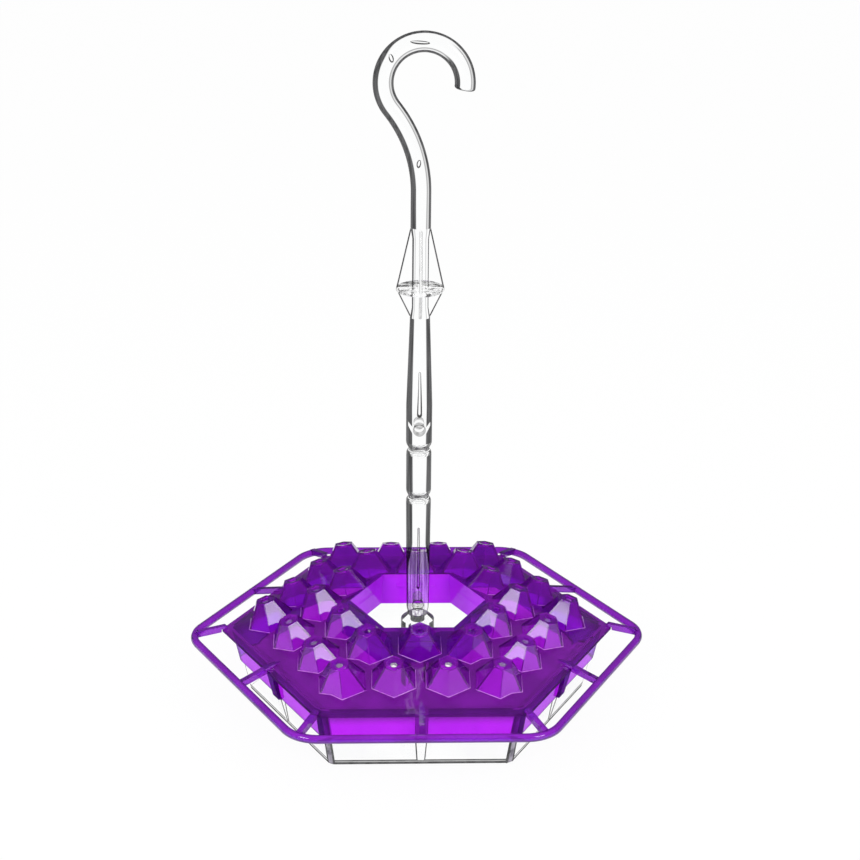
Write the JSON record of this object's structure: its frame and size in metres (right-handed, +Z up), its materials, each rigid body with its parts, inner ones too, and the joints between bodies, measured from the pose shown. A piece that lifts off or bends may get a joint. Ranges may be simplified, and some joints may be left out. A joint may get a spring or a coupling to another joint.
{
  "type": "hummingbird feeder",
  "caption": "Hanging hexagonal nectar feeder: clear basin with ant moat, violet lid with faceted feeding ports and perch frame, and a clear sectioned stem ending in a hook.",
  "frame": {"origin": "middle of the basin's underside, where the feeder stands", "axes": "+Z up along the stem, X across two corners of the hexagon and in the plane of the hook, which opens towards +X, -Y towards the flat side that faces the viewer"},
  "size_m": [0.2242, 0.1994, 0.3245],
  "materials": {
    "clear_plastic": "clear, polished mould",
    "violet_plastic": "see-through violet tint, polished mould"
  },
  "bodies": {
    "tray": {"basin": "clear_plastic"},
    "lid": {"port_lid": "violet_plastic", "perch_frame": "violet_plastic"},
    "stem_foot": {"lower_rod": "clear_plastic"},
    "stem_middle": {"middle_rod": "clear_plastic"},
    "stem_hook": {"hook_rod": "clear_plastic"}
  },
  "joints": [
    {"name": "lid_lift", "type": "slide", "parent": "tray", "child": "lid", "axis": [0, 0, 1], "range_m": [0, 0.32]},
    {"name": "lower_rod_pull", "type": "slide", "parent": "tray", "child": "stem_foot", "axis": [0, 0, 1], "range_m": [0, 0.03]},
    {"name": "middle_rod_pull", "type": "slide", "parent": "stem_foot", "child": "stem_middle", "axis": [0, 0, 1], "range_m": [0, 0.03]},
    {"name": "hook_rod_pull", "type": "slide", "parent": "stem_middle", "child": "stem_hook", "axis": [0, 0, 1], "range_m": [0, 0.03]}
  ]
}
